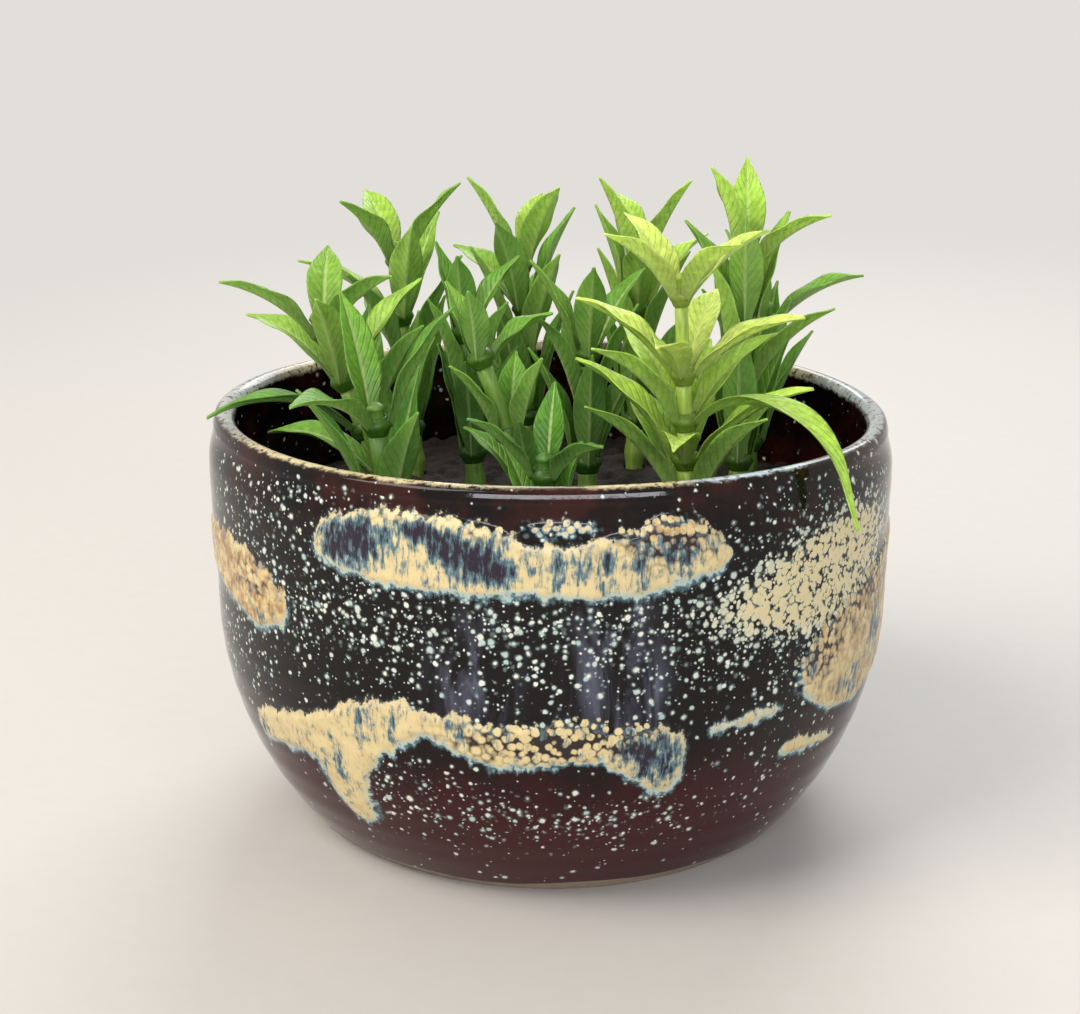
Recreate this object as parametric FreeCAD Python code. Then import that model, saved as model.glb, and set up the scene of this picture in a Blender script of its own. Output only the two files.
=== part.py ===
import FreeCAD, Part
import math
import os

Vector = FreeCAD.Vector
up = Vector(0, 0, 1)

# A small thrown stoneware bowl that stands on a trimmed foot, with moulded plastic
# greenery pushed into a foam plug. Millimetres, Z up, the table is at Z = 0, and the
# bowl turns about the Z axis. The front of the bowl faces -Y.

# Bowl
rim_diameter = 122.0
bowl_height = 75.0
foot_diameter = 85.0
foot_height = 2.0  # bare clay under the glaze line
foot_step = 2.6  # how far the belly stands out past the foot
foot_land = 7.0  # width of the flat ring that touches the table
foot_hollow = 1.5  # depth of the trimmed hollow inside that ring
floor_thickness = 4.5  # clay over the hollow
wall = 4.6
belly_height = 42.0  # where the belly has turned upright
waist_inset = 0.7  # how far the wall draws in under the rim
flare_height = 66.5  # where the wall is widest again
lip_inset = 1.0  # how far the lip leans in above that
lip_thickness = 3.8

# Foam plug and the layer of dark crumb on it
foam_gap = 0.4  # between the foam and the bowl's wall
headspace = 19.0  # from the rim down to the crumb
topping_depth = 6.0

# Stems
peg_diameter = 3.4
peg_depth = 24.0  # how deep the peg stands in the foam
peg_gap = 0.05  # all round the peg, in the foam
topping_gap = 0.4  # all round the peg, in the crumb
knee_rise = 1.6  # from the crumb up to where the stem starts to lean
knee_swell = 0.3  # how far the knee stands out past the peg
seat_step = 0.15  # what the stem loses in radius at each seat
stem_tip = 1.2  # how far the stem stands out of its top collar

# Leaf whorls
tallest_seat = 44.0  # along the stem, from the knee to the highest place for a collar
collar_wall = 1.3
collar_height = 3.2
collar_gap = 0.05  # all round the stem, in the collar
leaf_length = 27.0
leaf_width = 6.6
leaf_rib = 0.8  # thickness along the middle
leaf_edge = 0.4  # thickness along the edges
leaf_tip = 0.6  # width of the blunt tip
room_gap = 0.35  # from each leaf to the border of its sprig's room
rim_gap = 0.8  # from a low leaf to the bowl's wall
hang_gap = 1.2  # from a trailing leaf to the rim that it passes over
cut_overrun = 60.0

# A leaf's outline: how wide its stalk is, where it is widest, and where it is drawn
stalk_share = 0.30
widest_share = 0.5
leaf_station_shares = (0.0, 0.16, 0.36, 0.58, 0.8, 1.0)
high_leaf_share = 0.66  # length of a leaf at the highest place on a stem
trailing_width_share = 0.85

# Powers that draw the blade in towards both ends and the stalk into the blade
leaf_taper = 1.3
stalk_taper = 4

# Leaves in a whorl, and on the sprigs with fuller whorls
leaves_per_whorl = 3
fuller_whorls = {"front_right": 4}

# Degrees that each half of a leaf stands up from flat, that a leaf rises from level at
# its stalk and then arches over, low down and high up on a stem, and that leaves vary by
leaf_fold = 20.0
low_rise = 36.0
high_rise = 58.0
low_curl = 62.0
high_curl = 36.0
trailing_rise = 48.0
heading_sway = 6.0
rise_sway = 5.0
sway_turn = 137.5

# Each sprig's place to the right and to the back, as shares of the bowl's inside
# radius, and the room it takes from its neighbours, as a share of a leaf's length
sprig_shares = {
    "front_right": (0.42, -0.46, 0.80),
    "front_centre": (-0.02, -0.74, 0.40),
    "front_left": (-0.48, -0.60, 0.42),
    "centre_left": (-0.02, -0.36, 0.40),
    "left": (-0.49, -0.12, 0.56),
    "centre": (0.12, 0.02, 0.44),
    "right": (0.61, 0.0, 0.40),
    "back_left": (-0.47, 0.45, 0.50),
    "back_centre": (-0.08, 0.62, 0.50),
    "back_right": (0.30, 0.56, 0.46),
    "far_right": (0.68, 0.38, 0.46),
    "centre_back": (-0.25, 0.16, 0.36),
}
# Where each collar sits, as shares of the tallest seat
seat_shares = {
    "front_right": (0.10, 0.27, 0.42, 0.60, 0.90),
    "front_centre": (0.07, 0.31),
    "front_left": (0.07, 0.46),
    "centre_left": (0.09, 0.36, 0.68),
    "left": (0.09, 0.31, 0.52, 0.73),
    "centre": (0.09, 0.33, 0.54),
    "right": (0.11, 0.44, 0.68, 0.93),
    "back_left": (0.11, 0.40, 0.60, 0.84),
    "back_centre": (0.11, 0.39, 0.59, 0.79),
    "back_right": (0.11, 0.40, 0.60, 0.80),
    "far_right": (0.07, 0.29, 0.60),
    "centre_back": (0.09, 0.36, 0.60),
}
# Leaf lengths of the sprigs with shorter leaves
short_leaf_shares = {
    "front_centre": 0.62,
    "centre_left": 0.66,
    "centre": 0.88,
    "centre_back": 0.8,
    "far_right": 0.9,
}
# Heading of the first leaf, lean, and heading of the lean, in degrees from +X towards +Y
sprig_turns = {
    "front_right": (30.0, 3.0, 180.0),
    "front_centre": (12.0, 4.0, 270.0),
    "front_left": (60.0, 6.0, 225.0),
    "centre_left": (20.0, 20.0, 180.0),
    "left": (25.0, 22.0, 180.0),
    "centre": (40.0, 3.0, 90.0),
    "right": (25.0, 3.0, 60.0),
    "back_left": (50.0, 5.0, 150.0),
    "back_centre": (10.0, 4.0, 110.0),
    "back_right": (35.0, 3.0, 80.0),
    "far_right": (0.0, 6.0, 20.0),
    "centre_back": (30.0, 4.0, 160.0),
}
# The long leaves that pass over the rim: whorl counted from below, heading, and how
# steeply they then hang; and their free ends as shares of a leaf's length
trailing_leaves = {"front_right": (2, -39.0, 68.0), "left": (1, 208.0, 0.0)}
trailing_end_shares = {"front_right": 0.3, "left": 0.0}

# Bowl sizes that follow from the ones above
rim_radius = rim_diameter / 2
foot_radius = foot_diameter / 2
belly_radius = rim_radius - waist_inset
belly_start = foot_radius + foot_step
inside_radius = belly_radius - wall
floor_height = foot_hollow + floor_thickness
lip_outer = rim_radius - lip_inset
lip_inner = lip_outer - lip_thickness
lip_height = bowl_height - lip_thickness / 2
belly_run = belly_radius - belly_start
belly_climb = belly_height - foot_height
belly_arc = (belly_run**2 + belly_climb**2) / (2 * belly_run)
arc_centre = belly_radius - belly_arc

# Insert, stem and leaf sizes that follow
foam_radius = inside_radius - foam_gap
topping_top = bowl_height - headspace
foam_top = topping_top - topping_depth
peg_radius = peg_diameter / 2
peg_foot = foam_top - peg_depth
knee_height = topping_top + knee_rise
over_rim = hang_gap + leaf_rib


def arc_point(radius, height):
    """The point at a height on the bowl's belly arc, or on one drawn inside it."""
    reach = math.sqrt(radius**2 - (belly_height - height) ** 2)
    return Vector(arc_centre + reach, 0, height)


def belly_curve(radius, low_height):
    """The arc from a height up to where the belly is upright."""
    start = arc_point(radius, low_height)
    middle = arc_point(radius, (low_height + belly_height) / 2)
    return Part.Arc(start, middle, arc_point(radius, belly_height)).toShape()


def line(start, end):
    return Part.makeLine(start, end)


def upright_curve(start, end):
    """A smooth curve between two points that leaves and arrives straight up."""
    curve = Part.BSplineCurve()
    curve.interpolate(Points=[start, end], InitialTangent=up, FinalTangent=up)
    return curve.toShape()


def turned(edges):
    """The solid that a closed profile beside the Z axis sweeps out."""
    face = Part.Face(Part.Wire(Part.__sortEdges__(edges)))
    return face.revolve(Vector(0, 0, 0), up, 360)


def make_bowl():
    foot_low = Vector(foot_radius, 0, 0)
    foot_high = Vector(foot_radius, 0, foot_height)
    belly_low = Vector(belly_start, 0, foot_height)
    belly_high = Vector(belly_radius, 0, belly_height)
    flare = Vector(rim_radius, 0, flare_height)
    lip_out = Vector(lip_outer, 0, lip_height)
    lip_top = Vector((lip_outer + lip_inner) / 2, 0, bowl_height)
    lip_in = Vector(lip_inner, 0, lip_height)
    inside_high = Vector(inside_radius, 0, belly_height)
    inside_low = arc_point(belly_arc - wall, floor_height)
    floor_middle = Vector(0, 0, floor_height)
    hollow_middle = Vector(0, 0, foot_hollow)
    hollow_high = Vector(foot_radius - foot_land, 0, foot_hollow)
    hollow_low = Vector(foot_radius - foot_land, 0, 0)
    edges = [
        line(foot_low, foot_high),
        line(foot_high, belly_low),
        belly_curve(belly_arc, foot_height),
        upright_curve(belly_high, flare),
        upright_curve(flare, lip_out),
        Part.Arc(lip_out, lip_top, lip_in).toShape(),
        line(lip_in, inside_high),
        belly_curve(belly_arc - wall, floor_height),
        line(inside_low, floor_middle),
        line(floor_middle, hollow_middle),
        line(hollow_middle, hollow_high),
        line(hollow_high, hollow_low),
        line(hollow_low, foot_low),
    ]
    return turned(edges)


def peg_holes(radius, low, high):
    """One upright hole for each sprig's peg."""
    holes = []
    for name in sprig_shares:
        foot = base_point(name)
        foot.z = low
        holes.append(Part.makeCylinder(radius, high - low, foot))
    return Part.makeCompound(holes)


def make_foam():
    arc_radius = belly_arc - wall - foam_gap
    low = arc_point(arc_radius, floor_height)
    shoulder = Vector(foam_radius, 0, belly_height)
    top_edge = Vector(foam_radius, 0, foam_top)
    top_middle = Vector(0, 0, foam_top)
    floor_middle = Vector(0, 0, floor_height)
    edges = [
        line(floor_middle, low),
        belly_curve(arc_radius, floor_height),
        line(shoulder, top_edge),
        line(top_edge, top_middle),
        line(top_middle, floor_middle),
    ]
    return turned(edges).cut(peg_holes(peg_radius + peg_gap, peg_foot, foam_top + cut_overrun))


def make_topping():
    disc = Part.makeCylinder(foam_radius, topping_depth, Vector(0, 0, foam_top))
    return disc.cut(peg_holes(peg_radius + topping_gap, foam_top - cut_overrun, topping_top + cut_overrun))


def toward(heading):
    """The level unit vector at a heading in degrees."""
    angle = math.radians(heading)
    return Vector(math.cos(angle), math.sin(angle), 0)


def base_point(name):
    right, back = sprig_shares[name][:2]
    return Vector(right * inside_radius, back * inside_radius, knee_height)


def stem_axis(name):
    lean, heading = sprig_turns[name][1:]
    tilt = math.radians(lean)
    return toward(heading) * math.sin(tilt) + up * math.cos(tilt)


def seats(name):
    """Distances along the stem from the knee to the foot of each collar."""
    return [tallest_seat * share for share in seat_shares[name]]


def crown(name):
    """The middle of a sprig, seen from above, about which its room is drawn."""
    half = (seats(name)[0] + seats(name)[-1]) / 2
    point = base_point(name) + stem_axis(name) * half
    point.z = 0
    return point


def room_reach(name, start, heading, half_width):
    """How far a leaf runs along a heading before it leaves its own sprig's room. The
    border to each neighbour is square to the line between their crowns, and nearer to
    the sprig that takes less room, so no leaf stands over one of another sprig."""
    reaches = []
    aim = toward(heading)
    level_start = Vector(start.x, start.y, 0)
    own = sprig_shares[name][2] * leaf_length
    for other in sprig_shares:
        gap = crown(other) - crown(name)
        if other == name or aim.dot(gap) <= 0:
            continue
        away = Vector(gap).normalize()
        facing = aim.dot(away)
        theirs = sprig_shares[other][2] * leaf_length
        border = (gap.Length**2 + own**2 - theirs**2) / (2 * gap.Length)
        border -= (level_start - crown(name)).dot(away)
        side = half_width * math.sqrt(max(0, 1 - facing**2))
        reaches.append((border - room_gap - leaf_rib - side) / facing)
    return min(reaches, default=math.inf)


def circle_reach(start, heading, radius):
    """How far it is along a heading to a circle about the bowl's axis."""
    aim = toward(heading)
    along = start.x * aim.x + start.y * aim.y
    return -along + math.sqrt(along**2 - start.x**2 - start.y**2 + radius**2)


def settle(length, rise, curl, reach):
    """Rise and curl, in degrees, of a leaf that stands up just enough to keep within reach."""
    half = math.radians(curl) / 2
    chord = length * math.sin(half) / half
    natural = chord * math.cos(math.radians(rise) - half)
    if natural <= reach:
        return rise, curl
    curl = curl * reach / natural
    half = math.radians(curl) / 2
    chord = length * math.sin(half) / half
    return math.degrees(math.acos(reach / chord) + half), curl


def stem_radius(number):
    """The stem's radius above a number of seats."""
    return peg_radius - seat_step * number


def leaf_start(number):
    """Where leaves begin: in the middle of the collar's wall."""
    return stem_radius(number + 1) + collar_gap + collar_wall / 2


def whorl_centre(name, number):
    """The middle of a collar."""
    along = seats(name)[number] + collar_height / 2
    return base_point(name) + stem_axis(name) * along


def leaf_count(name):
    return fuller_whorls.get(name, leaves_per_whorl)


def leaf_places(name, number):
    """Each leaf of a whorl: heading, rise and curl in degrees, arc length, free end, width."""
    share = seat_shares[name][number]
    size_share = short_leaf_shares.get(name, 1)
    centre = whorl_centre(name, number)
    below_rim = centre.z < bowl_height + rim_gap + leaf_rib
    width = leaf_width * math.sqrt(size_share)
    length = leaf_length * size_share * (1 + (high_leaf_share - 1) * share)
    places = []
    for leaf in range(leaf_count(name)):
        sway = math.sin(math.radians(sway_turn * (number * leaf_count(name) + leaf)))
        heading = sprig_turns[name][0] + 360 * (leaf + number / 2) / leaf_count(name) + heading_sway * sway
        if is_trailing(name, number, heading):
            places.append(trailing_place(name, centre, number))
            continue
        reach = room_reach(name, centre, heading, width / 2)
        if below_rim:
            reach = min(reach, circle_reach(centre, heading, inside_radius - rim_gap - leaf_rib))
        rise = low_rise + (high_rise - low_rise) * share + rise_sway * sway
        curl = low_curl + (high_curl - low_curl) * share
        rise, curl = settle(length, rise, curl, reach - leaf_start(number))
        places.append((heading, rise, curl, length, 0, width))
    return places


def is_trailing(name, number, heading):
    """Whether the leaf nearest to this heading is the one that trails over the rim."""
    if name not in trailing_leaves or trailing_leaves[name][0] != number:
        return False
    off = (heading - trailing_leaves[name][1] + 180) % 360 - 180
    return abs(off) <= 180 / leaf_count(name)


def trailing_place(name, centre, number):
    """A long leaf whose arc just clears the outside of the rim and then hangs."""
    heading, hang = trailing_leaves[name][1:]
    run = circle_reach(centre, heading, rim_radius + hang_gap) - leaf_start(number)
    climb = bowl_height + over_rim - centre.z
    turn = math.radians(trailing_rise) - math.atan2(climb, run)
    radius = math.hypot(run, climb) / (2 * math.sin(turn))
    curl = max(2 * math.degrees(turn), trailing_rise + hang)
    free_end = trailing_end_shares[name] * leaf_length
    width = leaf_width * trailing_width_share
    return heading, trailing_rise, curl, radius * math.radians(curl), free_end, width


def leaf_half_width(share, width):
    """Half the leaf's width at a share of its length: a stalk, a broad middle, a tip."""
    middle = share ** (math.log(1 / 2) / math.log(widest_share))
    swell = math.sin(math.pi * middle) ** leaf_taper
    stalk = stalk_share * (1 - share) ** stalk_taper
    return max(leaf_tip / 2, width / 2 * (stalk + swell))


def leaf_solid(start, heading, rise, curl, arc, free_end, width):
    """A leaf folded along its rib, which rises, arches over and may end in a straight stretch."""
    aim = toward(heading)
    side = up.cross(aim)
    first = math.radians(rise)
    radius = arc / math.radians(curl)
    fold = math.radians(leaf_fold)
    sections = []
    for share in leaf_station_shares:
        along = share * (arc + free_end)
        straight = max(0, along - arc)
        angle = first - (along - straight) / radius
        run = radius * (math.sin(first) - math.sin(angle)) + straight * math.cos(angle)
        climb = radius * (math.cos(angle) - math.cos(first)) + straight * math.sin(angle)
        rib = start + aim * run + up * climb
        normal = up * math.cos(angle) - aim * math.sin(angle)
        half = leaf_half_width(share, width)
        lift = normal * (half * math.sin(fold))
        left = rib + side * (half * math.cos(fold)) + lift
        right = rib - side * (half * math.cos(fold)) + lift
        under = normal * leaf_edge
        outline = [rib, left, left - under, rib - normal * leaf_rib, right - under, right]
        sections.append(Part.makePolygon(outline + outline[:1]))
    return Part.makeLoft(sections, True, False)


def make_stem(name):
    """A peg upright in the foam, a swollen knee, and a stem that leans and steps in at each seat."""
    base = base_point(name)
    ends = seats(name) + [seats(name)[-1] + collar_height + stem_tip]
    outline = [Vector(0, 0, 0)]
    start = 0
    for number, end in enumerate(ends):
        outline.append(Vector(stem_radius(number), 0, start))
        outline.append(Vector(stem_radius(number), 0, end))
        start = end
    outline.append(Vector(0, 0, start))
    stem = turned(Part.makePolygon(outline + outline[:1]).Edges)
    stem.Placement = FreeCAD.Placement(base, FreeCAD.Rotation(up, stem_axis(name)))
    peg = Part.makeCylinder(peg_radius, knee_height - peg_foot, Vector(base.x, base.y, peg_foot))
    knee = Part.makeSphere(peg_radius + knee_swell, base)
    return stem.fuse([peg, knee])


def make_whorl(name, number):
    """One moulding: a collar that seats on a step of the stem, and its leaves."""
    axis = stem_axis(name)
    seat = base_point(name) + axis * seats(name)[number]
    bore_radius = stem_radius(number + 1) + collar_gap
    whorl = Part.makeCylinder(bore_radius + collar_wall, collar_height, seat, axis)
    for heading, rise, curl, arc, free_end, width in leaf_places(name, number):
        start = whorl_centre(name, number) + toward(heading) * leaf_start(number)
        whorl = whorl.fuse(leaf_solid(start, heading, rise, curl, arc, free_end, width))
    bore = Part.makeCylinder(bore_radius, 2 * cut_overrun, seat - axis * cut_overrun, axis)
    return whorl.cut(bore)


def save(name, shape):
    solids = shape.Solids
    if len(solids) != 1 or not solids[0].isValid():
        raise RuntimeError(f"{name}: {len(solids)} solids, valid {shape.isValid()}")
    solids[0].exportStep(os.path.join("parts", name + ".step"))
    print(name, round(solids[0].Volume, 1))


os.makedirs("parts", exist_ok=True)
save("bowl", make_bowl())
save("foam_plug", make_foam())
save("crumb_topping", make_topping())
for sprig in sprig_shares:
    save(sprig + "_stem", make_stem(sprig))
    for whorl_number in range(len(seat_shares[sprig])):
        save(f"{sprig}_leaf_whorl_{whorl_number + 1}", make_whorl(sprig, whorl_number))
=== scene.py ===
import math
from functools import partial

import bmesh
import bpy
import numpy as np
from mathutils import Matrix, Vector


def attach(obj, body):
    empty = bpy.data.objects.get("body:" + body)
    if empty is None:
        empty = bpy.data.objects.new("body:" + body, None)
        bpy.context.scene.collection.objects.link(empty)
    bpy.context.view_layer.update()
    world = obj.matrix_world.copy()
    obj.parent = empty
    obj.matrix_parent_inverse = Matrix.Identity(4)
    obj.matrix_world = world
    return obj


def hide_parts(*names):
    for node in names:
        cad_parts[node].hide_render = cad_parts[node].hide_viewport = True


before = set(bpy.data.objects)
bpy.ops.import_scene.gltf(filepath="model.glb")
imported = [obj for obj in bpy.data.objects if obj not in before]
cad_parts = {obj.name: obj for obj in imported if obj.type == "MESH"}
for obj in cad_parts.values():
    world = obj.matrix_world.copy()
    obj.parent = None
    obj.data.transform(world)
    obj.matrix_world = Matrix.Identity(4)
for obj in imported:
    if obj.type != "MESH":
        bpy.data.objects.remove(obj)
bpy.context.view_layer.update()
scene = bpy.context.scene
scene.view_settings.view_transform = "Standard"
mm = 0.001
fullTurn = 2 * math.pi
print("frame loaded:", len(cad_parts), "nodes")

# Short names for the nodes and settings that are used most
mathNode, mixNode, rangeNode = "ShaderNodeMath", "ShaderNodeMix", "ShaderNodeMapRange"
noiseNode, cellNode, readNode = "ShaderNodeTexNoise", "ShaderNodeTexVoronoi", "ShaderNodeAttribute"
times, plus, timesPlus = {"operation": "MULTIPLY"}, {"operation": "ADD"}, {"operation": "MULTIPLY_ADD"}
minus, larger, pingPong = {"operation": "SUBTRACT"}, {"operation": "MAXIMUM"}, {"operation": "PINGPONG"}
smooth, colours = {"interpolation_type": "SMOOTHSTEP"}, {"data_type": "RGBA"}


def linear(code):
    # sRGB hex to the linear colour that the shaders take
    parts = [int(code[i:i + 2], 16) / 255 for i in (1, 3, 5)]
    return [c / 12.92 if c <= 0.04045 else ((c + 0.055) / 1.055) ** 2.4 for c in parts] + [1.0]


def perMm(size):
    # a pattern's scale from its real size in millimetres
    return 1 / (size * mm)


def addNode(tree, kind, values, give=None):
    # adds a node: values that are outputs of other nodes become its links, the rest its settings
    node = tree.nodes.new(kind)
    for key, value in values.items():
        if isinstance(value, bpy.types.NodeSocket):
            tree.links.new(value, node.inputs[key])
        elif isinstance(key, int) or key in node.inputs:
            node.inputs[key].default_value = value
        else:
            setattr(node, key, value)
    return node if give is None else node.outputs[give]


def startMaterial(name, values, fields=()):
    # a new material: constants on the shader's own sockets, coordinates, and the mesh fields it reads
    material = bpy.data.materials.new(name)
    material.use_nodes = True
    material.node_tree.nodes.clear()
    add = partial(addNode, material.node_tree)
    shader = add("ShaderNodeBsdfPrincipled", values)
    coord = add("ShaderNodeTexCoord", {}, "Object")
    read = {key: add(readNode, {"attribute_name": key}, "Fac") for key in fields}
    return material, add, shader, coord, read


def layColours(add, look, below, layers):
    # lays colours over one another, each where its pattern passes its step, as strongly as its field says
    for name, pattern, field in layers:
        code, start, full = look[name]
        share = add(rangeNode, {**smooth, "From Min": start, "From Max": full, "Value": pattern}, 0)
        share = add(mathNode, {**times, 0: share, 1: field}, 0)
        below = add(mixNode, {**colours, 0: share, 6: below, 7: linear(code)}, 2)
    return below


def finishMaterial(add, shader, colour, rough, relief, bump, glow=0):
    # joins colour, roughness and relief to the shader; bump is a strength and a depth in millimetres
    strength, depth = bump
    raised = add("ShaderNodeBump", {"Strength": strength, "Distance": depth * mm, "Height": relief}, 0)
    for socket, source in (("Base Color", colour), ("Roughness", rough), ("Normal", raised)):
        shader.id_data.links.new(source, shader.inputs[socket])
    surface = shader.outputs[0]
    if glow:
        through = add("ShaderNodeBsdfTranslucent", {"Color": colour}, 0)
        surface = add("ShaderNodeMixShader", {0: glow, 1: surface, 2: through}, 0)
    add("ShaderNodeOutputMaterial", {"Surface": surface})


def smoothStep(low, high, value):
    t = np.clip((value - low) / (high - low), 0, 1)
    return t * t * (3 - 2 * t)


def addObject(name, data):
    thing = bpy.data.objects.new(name, data)
    scene.collection.objects.link(thing)
    return thing


def addPiece(name, points, faces, material, body, nodes, fields=None):
    # points in millimetres; the piece rides on its body and stands for its CAD nodes
    mesh = bpy.data.meshes.new(name)
    mesh.from_pydata((np.asarray(points, float) * mm).tolist(), [], np.asarray(faces, int).tolist())
    for key, values in (fields or {}).items():
        layer = mesh.attributes.new(key, "FLOAT", "POINT")
        layer.data.foreach_set("value", np.asarray(values, np.float32))
    skin = bmesh.new()
    skin.from_mesh(mesh)
    bmesh.ops.remove_doubles(skin, verts=skin.verts, dist=1e-7)  # closes the poles
    skin.to_mesh(mesh)
    skin.free()
    mesh.shade_smooth()
    mesh.materials.append(material)
    piece = addObject(name, mesh)
    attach(piece, body)
    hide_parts(*nodes)
    return piece


def ringFaces(rings, around):
    # quads between rings of points that go round an axis
    faces = []
    for i in range(rings - 1):
        a = np.arange(around) + i * around
        b = np.roll(np.arange(around), -1) + i * around
        faces.append(np.stack([a, b, b + around, a + around], 1))
    return np.concatenate(faces)


# Camera at the photograph's height and tilt: millimetres and degrees, clip in metres

cameraPlace = {"at": (-1.9, -350.5, 157.0), "down": 16.17, "lens": 66.67, "sensor": 36.0, "clip": (0.01, 50)}
lens = bpy.data.cameras.new("camera")
lens.lens, lens.sensor_width = cameraPlace["lens"], cameraPlace["sensor"]
lens.clip_start, lens.clip_end = cameraPlace["clip"]
camera = addObject("camera", lens)
camera.location = [x * mm for x in cameraPlace["at"]]
camera.rotation_euler = (math.radians(90 - cameraPlace["down"]), 0, 0)
scene.camera = camera
print("camera placed")

# Pale floor and soft studio lamps: metres and watts, the floor's grain in millimetres

studio = {
    "floor": "#d6d2cc", "floorGrain": "#d1cdc7", "grain": 4.0, "backdrop": "#e2dfda",
    "floorSize": 14.0, "fade": (0.22, 0.85), "sky": "#e3e6ea", "skyLight": 0.45, "aim": (0, 0, 0.06),
    "lamps": {
        "window": {"at": (-0.55, -0.35, 0.75), "size": (0.55, 0.55), "watts": 7.0, "colour": "#fff6ea"},
        "fill": {"at": (0.08, -0.85, 0.37), "size": (1.0, 0.08), "watts": 4.2, "colour": "#f6f7ff"},
        "back": {"at": (0.15, 0.7, 0.65), "size": (0.6, 0.6), "watts": 5.0, "colour": "#ffffff"},
    },
}


def backdropRays(add):
    # rays that see the plain backdrop: the camera's own, and those from glossy and clear surfaces
    path = add("ShaderNodeLightPath", {}).outputs
    seen = add(mathNode, {**larger, 0: path["Is Camera Ray"], 1: path["Is Glossy Ray"]}, 0)
    return add(mathNode, {**larger, 0: seen, 1: path["Is Transmission Ray"]}, 0)


# Matt painted board: even and dull; far off it takes the backdrop's plain colour
floorPaint, add, shader, coord, _ = startMaterial("matt painted board", {"Roughness": 0.6, "IOR": 1.45})
grain = add(noiseNode, {"Scale": perMm(studio["grain"]), "Detail": 3, "Vector": coord}, "Fac")
tint = add(mixNode, {**colours, 0: grain, 6: linear(studio["floor"]), 7: linear(studio["floorGrain"])}, 2)
floorPaint.node_tree.links.new(tint, shader.inputs["Base Color"])
away = add("ShaderNodeVectorMath", {"operation": "LENGTH", 0: coord}, "Value")
near, far = studio["fade"]
faded = add(rangeNode, {**smooth, "From Min": near, "From Max": far, "Value": away}, 0)
share = add(mathNode, {**times, 0: faded, 1: backdropRays(add)}, 0)
plain = add("ShaderNodeEmission", {"Color": linear(studio["backdrop"]), "Strength": 1.0}, 0)
both = add("ShaderNodeMixShader", {0: share, 1: shader.outputs[0], 2: plain}, 0)
add("ShaderNodeOutputMaterial", {"Surface": both})
half = studio["floorSize"] / 2
floorMesh = bpy.data.meshes.new("floor")
corners = [(-half, -half, 0), (half, -half, 0), (half, half, 0), (-half, half, 0)]
floorMesh.from_pydata(corners, [], [(0, 1, 2, 3)])
floorMesh.materials.append(floorPaint)
addObject("floor", floorMesh)
for name, lamp in studio["lamps"].items():
    light = bpy.data.lights.new(name, "AREA")
    light.shape = "RECTANGLE"
    light.size, light.size_y = lamp["size"]
    light.energy, light.color = lamp["watts"], linear(lamp["colour"])[:3]
    holder = addObject(name, light)
    holder.location = lamp["at"]
    holder.rotation_euler = (Vector(studio["aim"]) - holder.location).to_track_quat("-Z", "Y").to_euler()
world = bpy.data.worlds.new("studio")
world.use_nodes = True
world.node_tree.nodes.clear()
add = partial(addNode, world.node_tree)
sky = add("ShaderNodeBackground", {"Color": linear(studio["sky"]), "Strength": studio["skyLight"]}, 0)
plain = add("ShaderNodeBackground", {"Color": linear(studio["backdrop"]), "Strength": 1.0}, 0)
both = add("ShaderNodeMixShader", {0: backdropRays(add), 1: sky, 2: plain}, 0)
add("ShaderNodeOutputWorld", {"Surface": both})
scene.world = world
print("studio lit")

# Bowl: sizes in millimetres

bowlShape = {
    "rimRadius": 61.0, "height": 75.0, "footRadius": 42.5, "footHeight": 2.0, "footLand": 7.0,
    "footHollow": 1.5, "floorHeight": 6.0, "bellyStart": 45.1, "bellyRadius": 60.3, "bellyHeight": 42.0,
    "wall": 4.6, "flareHeight": 66.5, "lipOuter": 60.0, "lipInner": 56.2, "lipHeight": 73.1,
    "around": 640,
    "ringDepth": 0.03, "ringSpacing": 5.2,  # throwing rings
    "rimSlope": 0.55, "rimWave": 0.25,      # the rim stands higher on the left
    "shoulder": 38.0,                       # degrees of the lip's round taken up by its flat
    "daubHeight": 0.42, "daubBead": 0.08,   # thick glaze and its rolled edge
    "glazeLine": 2.9,                       # bare clay below
}

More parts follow.
